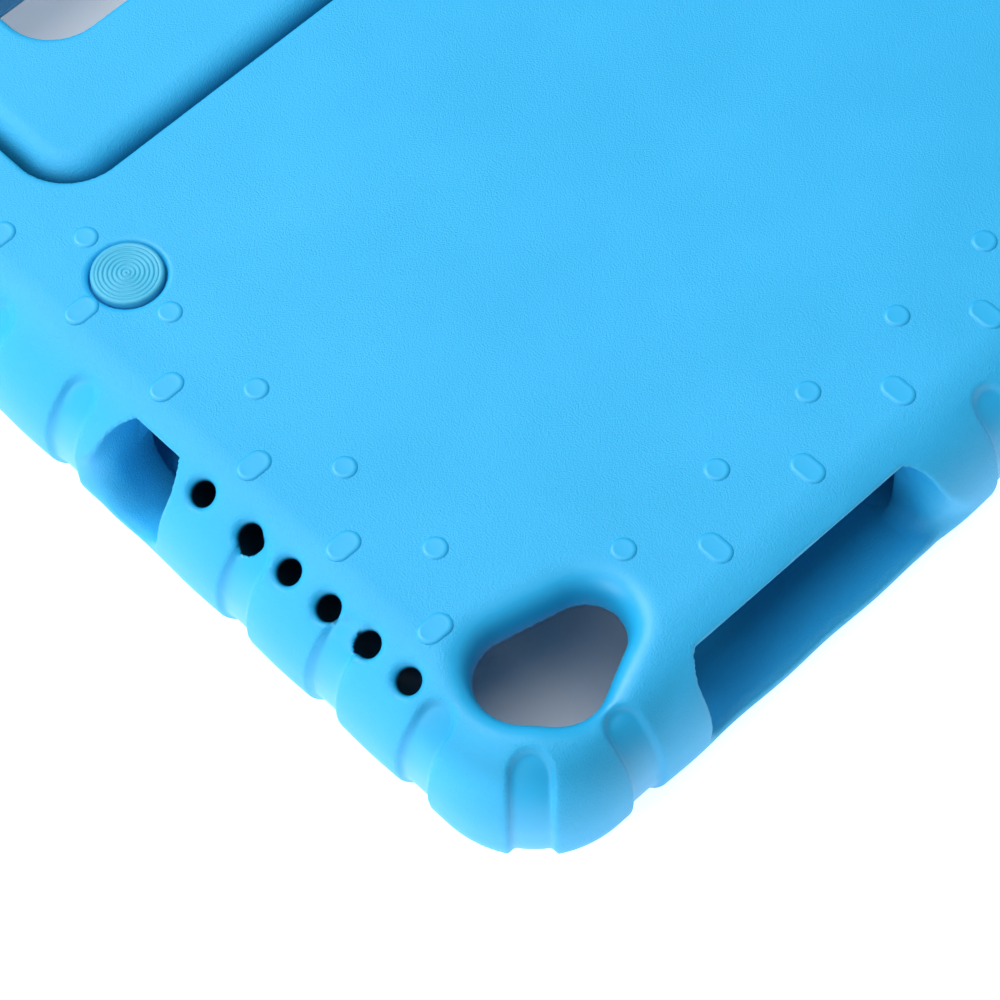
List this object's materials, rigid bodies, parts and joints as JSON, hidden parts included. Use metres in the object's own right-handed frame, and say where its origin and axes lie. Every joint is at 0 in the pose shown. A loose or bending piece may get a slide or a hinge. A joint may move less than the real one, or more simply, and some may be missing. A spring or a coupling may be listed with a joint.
{
  "type": "tablet case",
  "caption": "Foam bumper case for a tablet, with ribbed sides, dotted back, camera hole, port and button cut-outs, and a fold-out carry handle.",
  "frame": {"origin": "centre of the plane of the front rim, which the case rests on", "axes": "+X along the long side, +Y along the short side towards the handle's hinge, +Z out of the back face"},
  "size_m": [0.279, 0.187, 0.0235],
  "materials": {
    "shell_foam": "matt, fine leather-like grain of moulded EVA foam",
    "handle_foam": "matt, fine grain of moulded EVA foam",
    "handle_core": "moulded polypropylene",
    "bracket_nylon": "moulded nylon",
    "steel": "zinc plated",
    "bush_acetal": "turned acetal",
    "cover_plastic": "satin moulded plastic",
    "plug_plastic": "satin soft plastic with concentric grooves"
  },
  "bodies": {
    "case": {"case_shell": "shell_foam", "hinge_bracket_left": "bracket_nylon", "hinge_bracket_right": "bracket_nylon", "anchor_plate_left": "bracket_nylon", "anchor_plate_right": "bracket_nylon", "bracket_screws_left": "steel", "bracket_screws_right": "steel", "hinge_pin_left": "steel", "hinge_pin_right": "steel", "hinge_nut_left": "steel", "hinge_nut_right": "steel", "friction_washers_left": "steel", "friction_washers_right": "steel", "hinge_covers_left": "cover_plastic", "hinge_covers_right": "cover_plastic", "strap_plug_left": "plug_plastic", "strap_plug_right": "plug_plastic", "plug_retainer_left": "bracket_nylon", "plug_retainer_right": "bracket_nylon"},
    "handle": {"handle_foam": "handle_foam", "handle_core": "handle_core", "hinge_bush_left": "bush_acetal", "hinge_bush_right": "bush_acetal"}
  },
  "joints": [
    {"name": "handle_hinge", "type": "hinge", "parent": "case", "child": "handle", "pos_m": [0, 0.08, 0.0186], "axis": [-1, 0, 0], "range_deg": [0, 180]}
  ]
}
